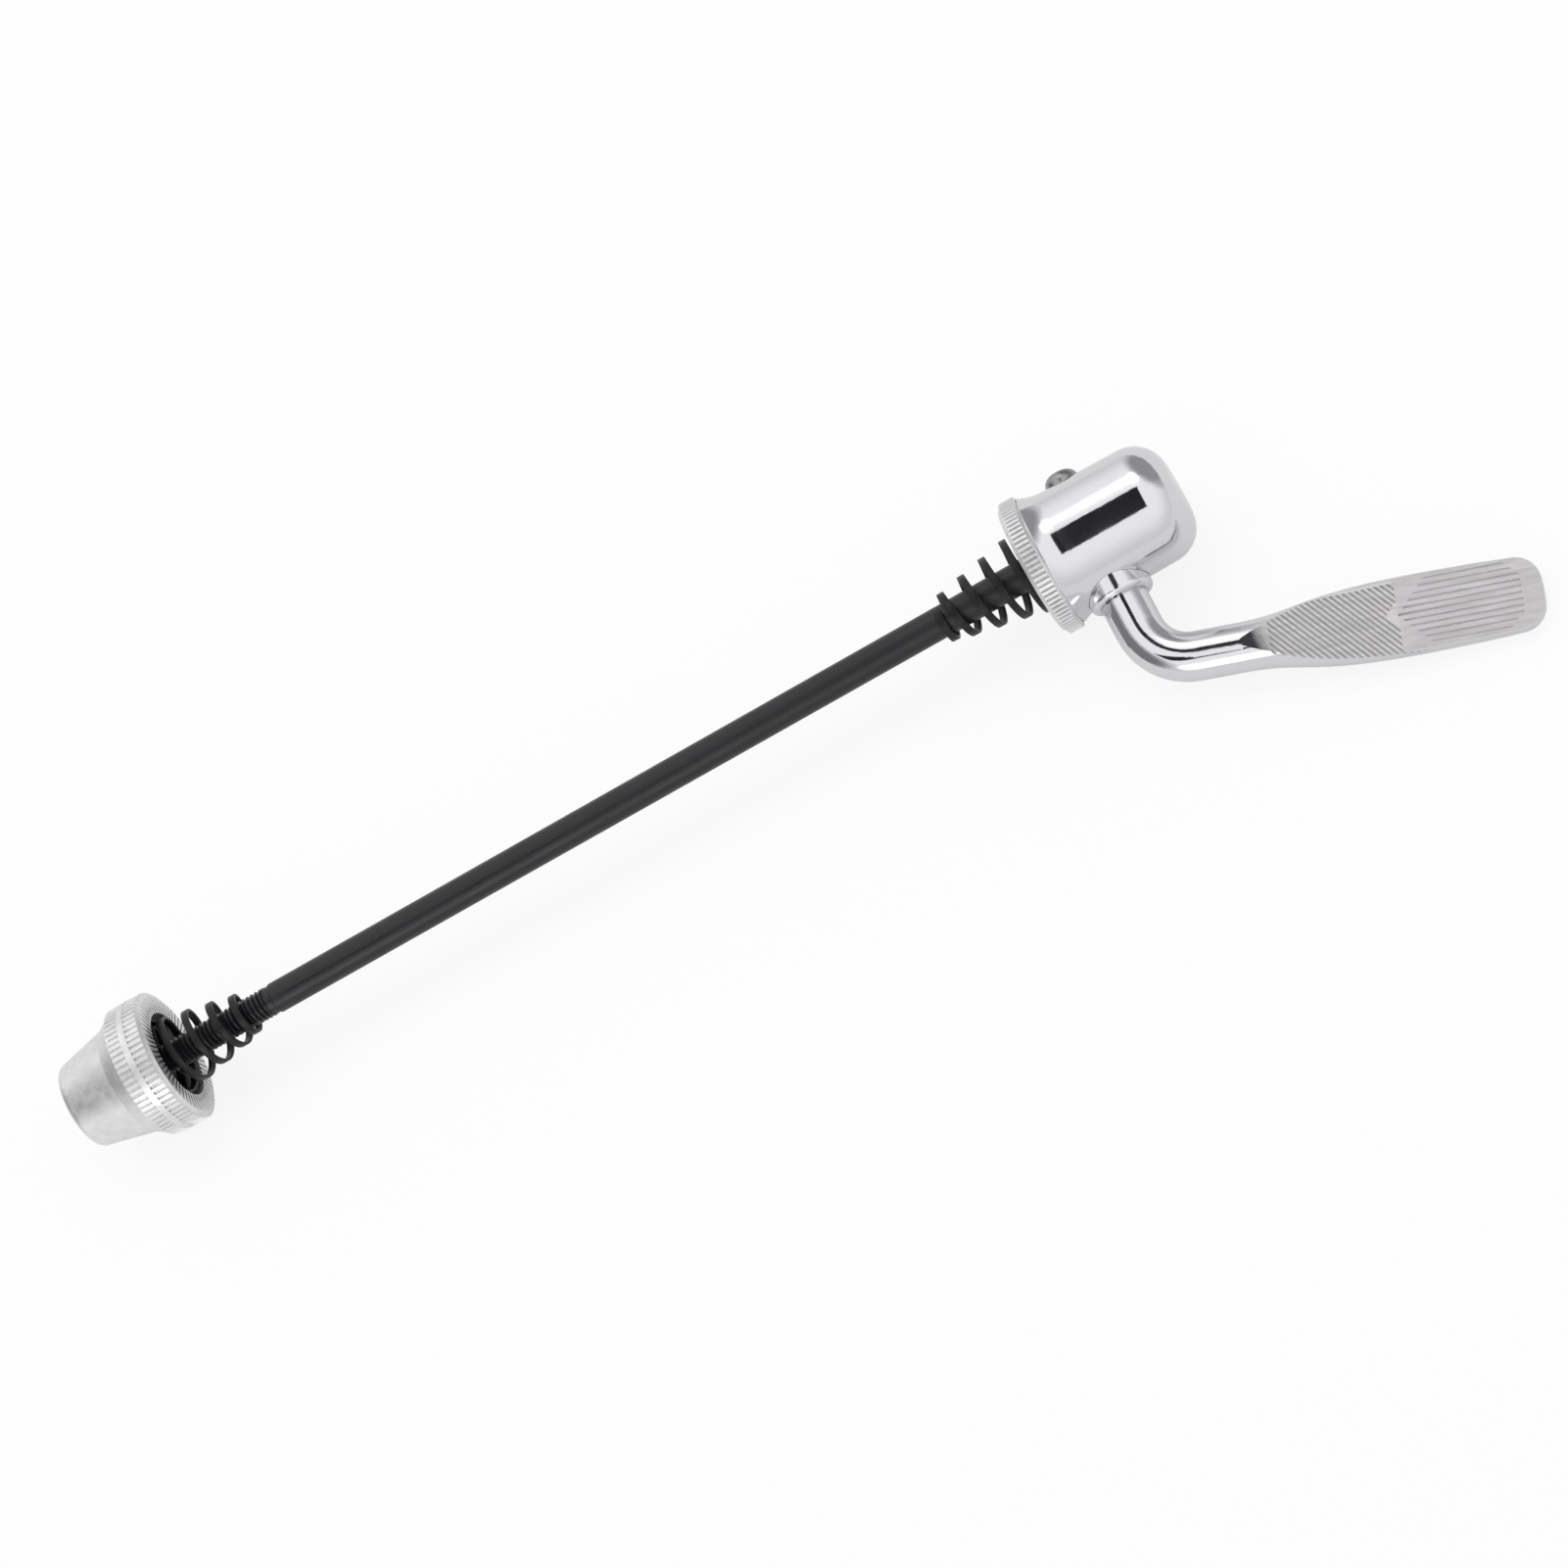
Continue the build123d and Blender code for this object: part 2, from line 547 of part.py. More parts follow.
# Conical spring in the nut's recess
with BuildPart() as nut_spring:
    with BuildLine() as nut_spine:
        Spline(*spring_spine(nut_face_x - INSERT_SEAT + SPRING_SEAT_CLEARANCE, 1))
    with BuildSketch(Plane(origin=nut_spine.line @ 0, x_dir=(1, 0, 0), z_dir=nut_spine.line % 0)):
        Rectangle(SPRING_WIRE_WIDTH, SPRING_WIRE_THICKNESS)
    sweep(path=nut_spine.line, is_frenet=True)
nut_spring.part.label = "nut_spring"
export_step(nut_spring.part, "parts/nut_spring.step")
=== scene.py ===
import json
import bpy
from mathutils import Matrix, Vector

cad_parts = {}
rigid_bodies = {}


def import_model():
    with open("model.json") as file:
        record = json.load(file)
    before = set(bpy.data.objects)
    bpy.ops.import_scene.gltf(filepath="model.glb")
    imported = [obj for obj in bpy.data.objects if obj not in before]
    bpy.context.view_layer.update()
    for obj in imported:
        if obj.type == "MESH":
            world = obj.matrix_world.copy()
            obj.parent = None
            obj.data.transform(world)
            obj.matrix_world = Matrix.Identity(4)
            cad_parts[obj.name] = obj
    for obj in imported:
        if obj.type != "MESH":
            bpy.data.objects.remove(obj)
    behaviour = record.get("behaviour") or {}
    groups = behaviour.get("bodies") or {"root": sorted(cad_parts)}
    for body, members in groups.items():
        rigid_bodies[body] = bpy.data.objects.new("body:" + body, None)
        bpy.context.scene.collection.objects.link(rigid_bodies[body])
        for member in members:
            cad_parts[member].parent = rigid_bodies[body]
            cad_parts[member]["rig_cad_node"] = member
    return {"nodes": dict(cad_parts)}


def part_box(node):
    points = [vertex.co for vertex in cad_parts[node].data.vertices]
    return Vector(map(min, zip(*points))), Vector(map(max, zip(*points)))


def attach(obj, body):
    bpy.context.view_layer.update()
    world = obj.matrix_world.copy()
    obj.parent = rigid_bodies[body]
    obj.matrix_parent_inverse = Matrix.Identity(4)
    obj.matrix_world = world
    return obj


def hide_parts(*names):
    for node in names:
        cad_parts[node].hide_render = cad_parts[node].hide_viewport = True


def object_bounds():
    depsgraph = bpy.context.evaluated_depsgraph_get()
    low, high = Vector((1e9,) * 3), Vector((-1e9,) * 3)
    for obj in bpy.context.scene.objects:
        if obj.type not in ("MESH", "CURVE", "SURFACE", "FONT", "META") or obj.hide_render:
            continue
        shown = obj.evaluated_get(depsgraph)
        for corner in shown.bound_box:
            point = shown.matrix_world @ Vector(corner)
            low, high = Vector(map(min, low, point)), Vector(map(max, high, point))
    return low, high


bl_info = {
    "name": "Quick Release Skewer",
    "version": (1, 0, 0),
    "blender": (4, 5, 0),
    "location": "View3D > Sidebar > Skewer",
    "description": "Dresses the CAD frame of a quick release skewer and lights its portrait",
    "category": "Object",
}

from math import pi, radians

import bpy
from bpy.props import FloatProperty, FloatVectorProperty, IntProperty, PointerProperty
from mathutils import Matrix, Vector
from mathutils.kdtree import KDTree

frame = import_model()
cad_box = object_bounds()
rod_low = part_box("skewer_rod")[0]

MERGE_DISTANCE = 1e-6
ALONG_ROD = (1.0, 0.0, 0.0)
WHITE = (1.0, 1.0, 1.0, 1.0)
FLOOR_RADIUS = 40.0

# Sockets of the Mix node, which uses the same names for numbers and colours
MIX_FACTOR = 0
NUMBER_A, NUMBER_B, NUMBER_OUT = 2, 3, 0
COLOUR_A, COLOUR_B, COLOUR_OUT = 6, 7, 2

# The range that noise seldom leaves
NOISE_LOW, NOISE_HIGH = 0.3, 0.7

# Roughness, from the glossiest spots to the dullest
POLISHED_GLOSS = (0.06, 0.12)
BLASTED_GLOSS = (0.42, 0.5)
SATIN_GLOSS = (0.39, 0.45)

# How squarely a face looks along the paddle's facing where the satin starts and where it is full
BROAD_SIDE = (0.7, 0.85)

# Lengths over which one finish turns into the next
RIM_BLEND = 0.0002
HANDLE_BLEND = 0.003

# How far behind the nut's clamping face the painted shade in its serrations starts and is
# darkest
SERRATION_FOOT = 0.0006
SERRATION_TOP = 0.0002


# Sizes and colours a user would change


class RodSettings(bpy.types.PropertyGroup):
    """Sizes and colour of the threaded rod"""

    thread_radius: FloatProperty(
        name="Thread radius",
        description="Outside radius of the thread's crests",
        default=0.0024,
        unit="LENGTH",
    )
    thread_pitch: FloatProperty(
        name="Thread pitch",
        description="Distance from one crest to the next",
        default=0.0008,
        unit="LENGTH",
    )
    thread_depth: FloatProperty(
        name="Thread depth",
        description="Height of a crest above the root",
        default=0.00045,
        unit="LENGTH",
    )
    thread_end: FloatProperty(
        name="Thread end",
        description="Place along the rod where the thread stops at its relief",
        default=-0.1376,
        unit="LENGTH",
    )
    end_chamfer: FloatProperty(
        name="End chamfer",
        description="Chamfer on the rod's threaded end",
        default=0.0006,
        unit="LENGTH",
    )
    thread_steps: IntProperty(
        name="Thread steps",
        description="Faces round one turn of the thread",
        default=40,
        min=12,
    )
    colour: FloatVectorProperty(
        name="Rod colour",
        description="Black oxide of the rod",
        default=(0.01, 0.01, 0.013),
        subtype="COLOR",
    )


class SpringSettings(bpy.types.PropertyGroup):
    """Edge and colour of the two conical springs"""

    edge_round: FloatProperty(
        name="Wire edge",
        description="Rounding of the flat wire's edges",
        default=0.00016,
        unit="LENGTH",
    )
    colour: FloatVectorProperty(
        name="Spring colour",
        description="Black oxide of the spring wire",
        default=(0.007, 0.007, 0.009),
        subtype="COLOR",
    )


class MetalSettings(bpy.types.PropertyGroup):
    """Colours of the chromed, turned and moulded pieces"""

    chrome: FloatVectorProperty(
        name="Chrome",
        description="Plating of the housing and the lever",
        default=(0.78, 0.78, 0.8),
        subtype="COLOR",
    )
    satin: FloatVectorProperty(
        name="Satin",
        description="Duller plating on the paddle's broad sides",
        default=(0.88, 0.86, 0.875),
        subtype="COLOR",
    )
    rim: FloatVectorProperty(
        name="Rim",
        description="Blasted plating on the flange's knurled rim",
        default=(0.92, 0.92, 0.93),
        subtype="COLOR",
    )
    paddle_facing: FloatVectorProperty(
        name="Paddle facing",
        description="Direction that the paddle's broad side faces",
        default=(0.0, -0.21557, 0.97649),
        subtype="DIRECTION",
    )
    paddle_start: FloatProperty(
        name="Paddle start",
        description="Place along the rod where the satin of the paddle starts",
        default=0.0245,
        unit="LENGTH",
    )
    handle_axis: FloatVectorProperty(
        name="Handle axis",
        description="Direction along the lever's handle",
        default=(0.94552, -0.31792, -0.07018),
        subtype="DIRECTION",
    )
    ribs_end: FloatProperty(
        name="Ribs end",
        description="Place along the handle where its deep ribs end",
        default=0.0530,
        unit="LENGTH",
    )
    rim_end: FloatProperty(
        name="Rim end",
        description="Place along the rod where the flange's knurled rim ends",
        default=0.0033,
        unit="LENGTH",
    )
    nut_face: FloatProperty(
        name="Nut face",
        description="How far the nut's clamping face is from the housing's",
        default=0.155,
        unit="LENGTH",
    )
    steel: FloatVectorProperty(
        name="Nut steel",
        description="Tumbled steel of the cone nut",
        default=(0.92, 0.91, 0.92),
        subtype="COLOR",
    )
    zinc: FloatVectorProperty(
        name="Screw zinc",
        description="Zinc plating of the retaining screw",
        default=(0.42, 0.42, 0.41),
        subtype="COLOR",
    )
    insert: FloatVectorProperty(
        name="Insert plastic",
        description="Moulded plastic in the nut's recess",
        default=(0.013, 0.013, 0.014),
        subtype="COLOR",
    )


class StageSettings(bpy.types.PropertyGroup):
    """Camera, lamps and floor of the portrait"""

    camera_place: FloatVectorProperty(
        name="Camera place",
        description="Where the camera stands",
        default=(0.0573, -0.31171, 0.51933),
        subtype="TRANSLATION",
    )
    camera_target: FloatVectorProperty(
        name="Camera target",
        description="Point at the middle of the picture",
        default=(-0.04916, -0.00835, -0.00505),
        subtype="TRANSLATION",
    )
    camera_up: FloatVectorProperty(
        name="Camera up",
        description="Direction that points up in the picture",
        default=(0.48204, 0.79725, 0.36335),
        subtype="DIRECTION",
    )
    lens: FloatProperty(
        name="Lens",
        description="Focal length in millimetres on a 36 mm sensor",
        default=92.151,
    )
    floor_colour: FloatVectorProperty(
        name="Floor colour",
        description="Pale floor under the skewer",
        default=(0.45, 0.45, 0.45),
        subtype="COLOR",
    )
    floor_shade: FloatProperty(
        name="Floor shade",
        description="How strongly the camera sees the shadows on the floor",
        default=0.16,
    )
    floor_clear: FloatProperty(
        name="Clear floor",
        description="How much of the white room the camera sees through the floor",
        default=0.836,
    )
    floor_mirrored: FloatProperty(
        name="Mirrored floor",
        description="White added to the floor where a mirror sees it",
        default=0.36,
    )
    room_light: FloatProperty(
        name="Room light",
        description="Strength of the white room on matt surfaces",
        default=0.8,
    )
    horizon: FloatProperty(
        name="Horizon",
        description="How bright the room is at the floor's edge in a mirror",
        default=0.72,
    )
    key_power: FloatProperty(
        name="Key power",
        description="Power of the soft box behind the rod",
        default=1.6,
        unit="POWER",
    )
    housing_glow: FloatProperty(
        name="Housing glow",
        description="Strength of the soft card that draws the housing's highlight",
        default=1.5,
    )
    rod_glow: FloatProperty(
        name="Rod glow",
        description="Strength of the soft card that draws the band along the rod",
        default=2.2,
    )
    card_height: FloatProperty(
        name="Card height",
        description="Height of the cards that the chrome mirrors",
        default=0.6,
        unit="LENGTH",
    )
    card_colour: FloatVectorProperty(
        name="Card colour",
        description="Dark cards that draw the black stripes in the chrome",
        default=(0.045, 0.045, 0.05),
        subtype="COLOR",
    )
    screen_colour: FloatVectorProperty(
        name="Screen colour",
        description="Grey screen that shades the end of the housing",
        default=(0.6, 0.6, 0.61),
        subtype="COLOR",
    )
    nut_screen_colour: FloatVectorProperty(
        name="Nut screen colour",
        description="Colour of the screen that the nut's cone mirrors",
        default=(0.38, 0.38, 0.39),
        subtype="COLOR",
    )


# Modelling helpers


def deselect_all():
    """Leave nothing selected, so that an operator acts only on what is picked next."""
    if bpy.context.object and bpy.context.object.mode != "OBJECT":
        bpy.ops.object.mode_set(mode="OBJECT")
    bpy.ops.object.select_all(action="DESELECT")


def pick(piece):
    """Make one object the only selected and the active one."""
    deselect_all()
    piece.select_set(True)
    bpy.context.view_layer.objects.active = piece


def copy_node(node, name):
    """A copy of a CAD node with its loose triangles merged, free of the frame."""
    pick(frame["nodes"][node])
    bpy.ops.object.duplicate()
    piece = bpy.context.object
    bpy.ops.object.parent_clear(type="CLEAR")
    piece.name = name
    piece.data.name = name
    del piece["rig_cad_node"]
    bpy.ops.object.mode_set(mode="EDIT")
    bpy.ops.mesh.select_all(action="SELECT")
    bpy.ops.mesh.remove_doubles(threshold=MERGE_DISTANCE)
    bpy.ops.mesh.customdata_custom_splitnormals_clear()
    bpy.ops.object.mode_set(mode="OBJECT")
    return piece


def draw_profile(name, points):
    """A line of edges, drawn by pulling one vertex from point to point."""
    deselect_all()
    bpy.ops.mesh.primitive_plane_add(size=0.001)
    profile = bpy.context.object
    profile.name = name
    profile.data.name = name
    bpy.ops.object.mode_set(mode="EDIT")
    bpy.ops.mesh.merge(type="CENTER")
    bpy.ops.transform.translate(value=points[0])
    for start, end in zip(points, points[1:]):
        step = Vector(end) - Vector(start)
        bpy.ops.mesh.extrude_vertices_move(TRANSFORM_OT_translate={"value": step})
    bpy.ops.object.mode_set(mode="OBJECT")
    return profile


def cut_end(place, keep_right):
    """Cut the edited mesh square across the rod and close the cut."""
    bpy.ops.mesh.select_all(action="SELECT")
    bpy.ops.mesh.bisect(
        plane_co=(place, 0, 0),
        plane_no=(1, 0, 0),
        use_fill=True,
        clear_inner=keep_right,
        clear_outer=not keep_right,
    )


def apply_all_modifiers(piece):
    """Turn the piece's modifiers into its mesh, in order."""
    pick(piece)
    for modifier in list(piece.modifiers):
        bpy.ops.object.modifier_apply(modifier=modifier.name)


def round_edges(piece, width, segments, angle):
    """Round the piece's sharp edges and shade it smooth between them."""
    bevel = piece.modifiers.new("Rounded edges", "BEVEL")
    bevel.width = width
    bevel.segments = segments
    bevel.limit_method = "ANGLE"
    bevel.angle_limit = radians(angle)
    apply_all_modifiers(piece)
    bpy.ops.object.shade_smooth_by_angle(angle=radians(angle))


def corner_spots(mesh):
    """A spot inside each corner of a mesh's faces, so that no two corners share one."""
    spots = []
    for face in mesh.polygons:
        for corner in face.loop_indices:
            place = mesh.vertices[mesh.loops[corner].vertex_index].co
            spots.append((place + face.center) / 2)
    return spots


def keep_normals(piece, node, dome_end):
    """Give a merged copy its CAD node's normals, and the tip of the dome one along the rod."""
    spots = corner_spots(node.data)
    tree = KDTree(len(spots))
    for corner, spot in enumerate(spots):
        tree.insert(spot, corner)
    tree.balance()
    normals = []
    for spot in corner_spots(piece.data):
        normals.append(node.data.corner_normals[tree.find(spot)[1]].vector)
    for corner, loop in enumerate(piece.data.loops):
        if piece.data.vertices[loop.vertex_index].co.x > dome_end - MERGE_DISTANCE:
            normals[corner] = Vector(ALONG_ROD)
    piece.data.normals_split_custom_set(normals)


def dress(piece, material):
    """Give a piece one finish in place of what it has."""
    piece.data.materials.clear()
    piece.data.materials.append(material)


# Finishes


def link(owner, source, output, target, target_input):
    """Join two nodes of a finish or of the room."""
    owner.node_tree.links.new(source.outputs[output], target.inputs[target_input])


def add_noise(material, size, detail, turn=(0, 0, 0), stretch=1.0):
    """Noise with patches of a size in metres, stretched along a turned X axis of the piece."""
    nodes = material.node_tree.nodes
    place = nodes.new("ShaderNodeTexCoord")
    mapping = nodes.new("ShaderNodeMapping")
    mapping.vector_type = "TEXTURE"
    mapping.inputs["Rotation"].default_value = turn
    mapping.inputs["Scale"].default_value = (stretch, 1, 1)
    noise = nodes.new("ShaderNodeTexNoise")
    noise.inputs["Scale"].default_value = 1.0 / size
    noise.inputs["Detail"].default_value = detail
    link(material, place, "Object", mapping, "Vector")
    link(material, mapping, "Vector", noise, "Vector")
    return noise


def add_range(material, noise, low, high):
    """Spread noise between two values."""
    spread = material.node_tree.nodes.new("ShaderNodeMapRange")
    spread.inputs["From Min"].default_value = NOISE_LOW
    spread.inputs["From Max"].default_value = NOISE_HIGH
    spread.inputs["To Min"].default_value = low
    spread.inputs["To Max"].default_value = high
    link(material, noise, "Fac", spread, "Value")
    return spread


def new_finish(name, colour, metallic):
    """A finish with its even values on the shader's own sockets."""
    material = bpy.data.materials.new(name)
    material.use_nodes = True
    shader = material.node_tree.nodes["Principled BSDF"]
    shader.inputs["Base Color"].default_value = (*colour, 1.0)
    shader.inputs["Metallic"].default_value = metallic
    return material, shader


def clouded(material, colour, size, dark, turn=(0, 0, 0), stretch=1.0):
    """A colour with soft darker patches or streaks."""
    patches = add_noise(material, size, 4.0, turn, stretch)
    spread = add_range(material, patches, 0.0, 1.0)
    mix = material.node_tree.nodes.new("ShaderNodeMix")
    mix.data_type = "RGBA"
    link(material, spread, "Result", mix, MIX_FACTOR)
    mix.inputs[COLOUR_A].default_value = (*(dark * channel for channel in colour), 1.0)
    mix.inputs[COLOUR_B].default_value = (*colour, 1.0)
    return mix


def add_patches(material, shader, colour, size, dark):
    """Cloud the whole finish with soft patches."""
    patches = clouded(material, colour, size, dark)
    link(material, patches, COLOUR_OUT, shader, "Base Color")


def add_grain(material, shader, size, depth, detail):
    """Fine relief under the reflections."""
    grain = add_noise(material, size, detail)
    bump = material.node_tree.nodes.new("ShaderNodeBump")
    bump.inputs["Strength"].default_value = 1.0
    bump.inputs["Distance"].default_value = depth
    link(material, grain, "Fac", bump, "Height")
    link(material, bump, "Normal", shader, "Normal")


def add_gloss(material, shader, size, low, high):
    """Roughness that drifts between two values."""
    drift = add_noise(material, size, detail=3.0)
    spread = add_range(material, drift, low, high)
    link(material, spread, "Result", shader, "Roughness")


def add_painted_shade(material, shader, reach, darkest=0.0, strength=1.0):
    """Paint shade into the colour in grooves and corners, to black where they are as closed as
    darkest.
    """
    nodes = material.node_tree.nodes
    colour = shader.inputs["Base Color"]
    # Ambient occlusion darkens the colour in grooves and corners: painted shade
    painted_shade = nodes.new("ShaderNodeAmbientOcclusion")
    painted_shade.only_local = True
    painted_shade.samples = 8
    painted_shade.inputs["Distance"].default_value = reach
    spread = nodes.new("ShaderNodeMapRange")
    spread.inputs["From Min"].default_value = darkest
    link(material, painted_shade, "AO", spread, "Value")
    mix = nodes.new("ShaderNodeMix")
    mix.data_type = "RGBA"
    mix.blend_type = "MULTIPLY"
    mix.inputs[MIX_FACTOR].default_value = strength
    mix.inputs[COLOUR_A].default_value = colour.default_value
    for joint in colour.links:
        material.node_tree.links.new(joint.from_socket, mix.inputs[COLOUR_A])
    link(material, spread, "Result", mix, COLOUR_B)
    link(material, mix, COLOUR_OUT, shader, "Base Color")
    return mix


def add_zone(material, output, direction, start, end):
    """Nought to one as a place or a facing goes along a direction of the frame, either way."""
    nodes = material.node_tree.nodes
    place = nodes.new("ShaderNodeTexCoord")
    along = nodes.new("ShaderNodeVectorMath")
    along.operation = "DOT_PRODUCT"
    along.inputs[1].default_value = direction
    link(material, place, output, along, 0)
    distance = nodes.new("ShaderNodeMath")
    distance.operation = "ABSOLUTE"
    link(material, along, "Value", distance, 0)
    zone = nodes.new("ShaderNodeMapRange")
    zone.inputs["From Min"].default_value = start
    zone.inputs["From Max"].default_value = end
    link(material, distance, 0, zone, "Value")
    return zone


def add_two_glosses(material, shader, zone, polished, satin):
    """Polished roughness outside a zone and satin roughness inside it."""
    outside = add_range(material, add_noise(material, size=0.008, detail=3.0), *polished)
    inside = add_range(material, add_noise(material, size=0.0006, detail=3.0), *satin)
    mix = material.node_tree.nodes.new("ShaderNodeMix")
    link(material, zone, 0, mix, MIX_FACTOR)
    link(material, outside, "Result", mix, NUMBER_A)
    link(material, inside, "Result", mix, NUMBER_B)
    link(material, mix, NUMBER_OUT, shader, "Roughness")


def add_two_colours(material, shader, zone, outside, inside):
    """One colour outside a zone and a clouded one inside it."""
    mix = material.node_tree.nodes.new("ShaderNodeMix")
    mix.data_type = "RGBA"
    link(material, zone, 0, mix, MIX_FACTOR)
    mix.inputs[COLOUR_A].default_value = (*outside, 1.0)
    link(material, inside, COLOUR_OUT, mix, COLOUR_B)
    link(material, mix, COLOUR_OUT, shader, "Base Color")


# Pieces


class SKEWER_OT_rod(bpy.types.Operator):
    """Model the black rod with its real thread"""

    bl_idname = "skewer.rod"
    bl_label = "Threaded Rod"

    def execute(self, context):
        rod = context.scene.skewer_rod
        crest = rod.thread_radius
        root = crest - rod.thread_depth
        pitch = rod.thread_pitch
        thread_start = rod_low.x
        first = thread_start - pitch
        flank_foot = first + pitch / 5
        flank_top = first + pitch / 2
        crest_end = first + pitch * 0.7
        thread = draw_profile(
            "rod_thread",
            [
                (first, root, 0),
                (flank_foot, root, 0),
                (flank_top, crest, 0),
                (crest_end, crest, 0),
                (first + pitch, root, 0),
            ],
        )
        screw = thread.modifiers.new("Thread", "SCREW")
        screw.axis = "X"
        screw.angle = 2 * pi
        screw.screw_offset = pitch
        screw.iterations = int((rod.thread_end - first) / pitch) + 2
        screw.steps = rod.thread_steps
        screw.render_steps = rod.thread_steps
        screw.use_merge_vertices = True
        screw.merge_threshold = MERGE_DISTANCE
        apply_all_modifiers(thread)
        bpy.ops.object.mode_set(mode="EDIT")
        bpy.ops.mesh.select_all(action="SELECT")
        bpy.ops.mesh.remove_doubles(threshold=MERGE_DISTANCE)
        bpy.ops.mesh.normals_make_consistent(inside=False)
        cut_end(rod.thread_end, keep_right=False)
        cut_end(thread_start + rod.end_chamfer, keep_right=True)
        bpy.ops.mesh.extrude_region_move(
            TRANSFORM_OT_translate={"value": (-rod.end_chamfer, 0, 0)}
        )
        shrink = 1 - rod.end_chamfer / crest
        bpy.ops.transform.resize(
            value=(1, shrink, shrink),
            center_override=(thread_start, 0, 0),
        )
        bpy.ops.object.mode_set(mode="OBJECT")

        # The plain rod starts just inside the thread's end, so that no gap shows
        piece = copy_node("skewer_rod", "rod_black")
        bpy.ops.object.mode_set(mode="EDIT")
        cut_end(rod.thread_end - rod.thread_depth / 4, keep_right=True)
        bpy.ops.object.mode_set(mode="OBJECT")
        pick(piece)
        thread.select_set(True)
        bpy.ops.object.join()
        bpy.ops.object.shade_smooth_by_angle(angle=radians(40))

        material, shader = new_finish("black_oxide_rod", rod.colour, metallic=0.0)
        add_patches(material, shader, rod.colour, size=0.006, dark=0.7)
        add_gloss(material, shader, size=0.004, low=0.3, high=0.4)
        add_grain(material, shader, size=0.0004, depth=0.000004, detail=4.0)
        dress(piece, material)
        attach(piece, "rod")
        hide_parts("skewer_rod")
        return {"FINISHED"}


class SKEWER_OT_springs(bpy.types.Operator):
    """Model the two conical springs of flat wire"""

    bl_idname = "skewer.springs"
    bl_label = "Conical Springs"

    def execute(self, context):
        spring = context.scene.skewer_spring
        material, shader = new_finish("black_oxide_spring", spring.colour, metallic=0.0)
        shader.inputs["Specular IOR Level"].default_value = 0.35
        add_patches(material, shader, spring.colour, size=0.003, dark=0.75)
        add_gloss(material, shader, size=0.003, low=0.3, high=0.44)
        add_grain(material, shader, size=0.0003, depth=0.000004, detail=4.0)
        for node, body in (("lever_spring", "housing"), ("nut_spring", "nut_spring")):
            piece = copy_node(node, node + "_wire")
            round_edges(piece, spring.edge_round, segments=2, angle=45)
            dress(piece, material)
            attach(piece, body)
            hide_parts(node)
        return {"FINISHED"}


class SKEWER_OT_housing(bpy.types.Operator):
    """Finish the cam housing in polished chrome with a blasted rim"""

    bl_idname = "skewer.housing"
    bl_label = "Cam Housing"

    def execute(self, context):
        metal = context.scene.skewer_metal
        piece = copy_node("cam_housing", "housing_chrome")
        bpy.ops.object.shade_smooth()
        keep_normals(piece, frame["nodes"]["cam_housing"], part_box("cam_housing")[1].x)

        material, shader = new_finish("polished_chrome", metal.chrome, metallic=1.0)
        rim = add_zone(material, "Object", ALONG_ROD, metal.rim_end + RIM_BLEND, metal.rim_end)
        add_two_glosses(material, shader, rim, POLISHED_GLOSS, BLASTED_GLOSS)
        blasted = clouded(material, metal.rim, size=0.0012, dark=0.86)
        add_two_colours(material, shader, rim, metal.chrome, blasted)
        add_grain(material, shader, size=0.0018, depth=0.000018, detail=3.0)
        # Painted shade in the housing's grooves and corners
        add_painted_shade(material, shader, reach=0.0004, strength=0.3)
        dress(piece, material)
        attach(piece, "housing")
        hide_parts("cam_housing")
        return {"FINISHED"}


class SKEWER_OT_lever(bpy.types.Operator):
    """Finish the lever in chrome, polished on the arm and satin on the paddle"""

    bl_idname = "skewer.lever"
    bl_label = "Cam Lever"

    def execute(self, context):
        metal = context.scene.skewer_metal
        material, shader = new_finish("lever_chrome", metal.chrome, metallic=1.0)
        satin_start = metal.paddle_start
        paddle = add_zone(material, "Object", ALONG_ROD, satin_start, satin_start + HANDLE_BLEND)
        broad = add_zone(material, "Normal", metal.paddle_facing, *BROAD_SIDE)
        satin = material.node_tree.nodes.new("ShaderNodeMath")
        satin.operation = "MULTIPLY"
        link(material, paddle, "Result", satin, 0)
        link(material, broad, "Result", satin, 1)
        add_two_glosses(material, shader, satin, POLISHED_GLOSS, SATIN_GLOSS)

        along = Vector(metal.handle_axis)
        facing = Vector(metal.paddle_facing)
        turn = Matrix((along, facing.cross(along), facing)).transposed().to_euler()
        streaked = clouded(material, metal.satin, size=0.0006, dark=0.8, turn=turn, stretch=12.0)
        add_two_colours(material, shader, satin, metal.chrome, streaked)
        add_grain(material, shader, size=0.0018, depth=0.000014, detail=3.0)

        # Painted shade in the lever's grooves, strongest among the paddle's deep ribs
        painted_shade = add_painted_shade(material, shader, reach=0.0006)
        ribs_end = metal.ribs_end
        ribs = add_zone(material, "Object", metal.handle_axis, ribs_end + HANDLE_BLEND, ribs_end)
        ribs.inputs["To Min"].default_value = 0.1
        ribs.inputs["To Max"].default_value = 0.6
        link(material, ribs, "Result", painted_shade, MIX_FACTOR)
        dress(frame["nodes"]["lever"], material)
        return {"FINISHED"}


